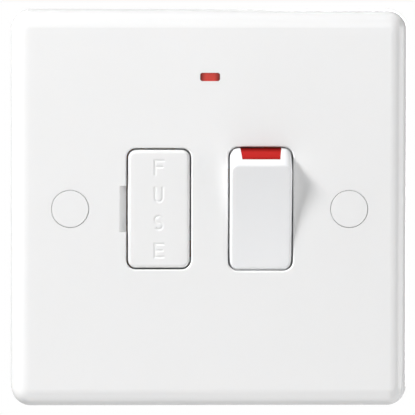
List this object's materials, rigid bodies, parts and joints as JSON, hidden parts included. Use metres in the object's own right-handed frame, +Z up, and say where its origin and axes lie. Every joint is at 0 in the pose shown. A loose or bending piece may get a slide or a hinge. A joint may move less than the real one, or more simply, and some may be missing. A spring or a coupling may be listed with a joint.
{
  "type": "switched fused connection unit",
  "caption": "Square white wall plate with a pull-out cartridge fuse carrier, a double-pole rocker with a red flag and a neon indicator, for wiring a fixed appliance.",
  "frame": {"origin": "centre of the plate on the wall plane, midway between the two fixing screws", "axes": "+Z up, +X right seen from the front, the front faces -Y and the fixing screws run along +Y"},
  "size_m": [0.086, 0.0334, 0.086],
  "materials": {
    "white_plastic": "moulded white thermoset, satin gloss",
    "housing_plastic": "moulded off-white thermoset, matt",
    "red_plastic": "red flag moulding",
    "red_lens": "translucent red lens",
    "nylon": "natural nylon",
    "lamp_glass": "clear glass envelope",
    "resistor_lacquer": "lacquered film resistor",
    "lead_wire": "sleeved lead",
    "brass": "machined brass",
    "copper_strip": "stamped copper strip",
    "clip_bronze": "phosphor bronze spring strip",
    "contact_silver": "silver contact rivet",
    "fuse_ceramic": "unglazed ceramic",
    "fuse_cap_metal": "nickel plated cap",
    "screw_steel": "zinc plated steel",
    "screw_brass": "plated brass screw",
    "spring_steel": "spring steel wire"
  },
  "bodies": {
    "unit": {"earth_strip": "copper_strip", "faceplate": "white_plastic", "fixed_contact_tips": "contact_silver", "fixing_screws": "screw_steel", "fuse_clip_lower": "clip_bronze", "fuse_clip_upper": "clip_bronze", "housing_screws": "screw_steel", "live_load_strip": "copper_strip", "live_supply_strip": "copper_strip", "load_earth_terminal": "brass", "load_live_terminal": "brass", "load_neutral_terminal": "brass", "neon_lamp": "lamp_glass", "neon_leads": "lead_wire", "neon_lens": "red_lens", "neon_resistor": "resistor_lacquer", "neutral_load_strip": "copper_strip", "neutral_supply_strip": "copper_strip", "rear_housing": "housing_plastic", "screw_cap_left": "white_plastic", "screw_cap_right": "white_plastic", "supply_earth_terminal": "brass", "supply_live_terminal": "brass", "supply_neutral_terminal": "brass", "terminal_screws": "screw_brass"},
    "rocker": {"rocker": "white_plastic", "rocker_flag": "red_plastic", "live_spring": "spring_steel", "neutral_spring": "spring_steel"},
    "live_plunger": {"live_plunger": "nylon"},
    "neutral_plunger": {"neutral_plunger": "nylon"},
    "live_contact": {"live_rocking_contact": "copper_strip", "live_moving_tip": "contact_silver"},
    "neutral_contact": {"neutral_rocking_contact": "copper_strip", "neutral_moving_tip": "contact_silver"},
    "fuse_carrier": {"fuse_carrier": "white_plastic", "fuse_tube": "fuse_ceramic", "fuse_end_caps": "fuse_cap_metal"}
  },
  "joints": [
    {"name": "rocker_tilt", "type": "hinge", "parent": "unit", "child": "rocker", "pos_m": [0.011, -0.0007, 0], "axis": [1, 0, 0], "range_deg": [-18, 0]},
    {"name": "live_contact_tilt", "type": "hinge", "parent": "unit", "child": "live_contact", "pos_m": [0.0076, 0.00825, 0], "axis": [1, 0, 0], "range_deg": [0, 18]},
    {"name": "neutral_contact_tilt", "type": "hinge", "parent": "unit", "child": "neutral_contact", "pos_m": [0.0144, 0.00825, 0], "axis": [1, 0, 0], "range_deg": [0, 18]},
    {"name": "live_plunger_slide", "type": "slide", "parent": "rocker", "child": "live_plunger", "axis": [0, 0.9877, 0.1564], "range_m": [-0.0008, 0.0002], "stiffness_N_per_m": 300, "springref_m": 0.0002, "deforming": ["live_spring"]},
    {"name": "neutral_plunger_slide", "type": "slide", "parent": "rocker", "child": "neutral_plunger", "axis": [0, 0.9877, 0.1564], "range_m": [-0.0008, 0.0002], "stiffness_N_per_m": 300, "springref_m": 0.0002, "deforming": ["neutral_spring"]},
    {"name": "fuse_carrier_slide", "type": "slide", "parent": "unit", "child": "fuse_carrier", "axis": [0, -1, 0], "range_m": [0, 0.0105]}
  ],
  "couplings": [
    {"joint": "live_contact_tilt", "follows": "rocker_tilt", "ratio": -1},
    {"joint": "neutral_contact_tilt", "follows": "rocker_tilt", "ratio": -1}
  ]
}
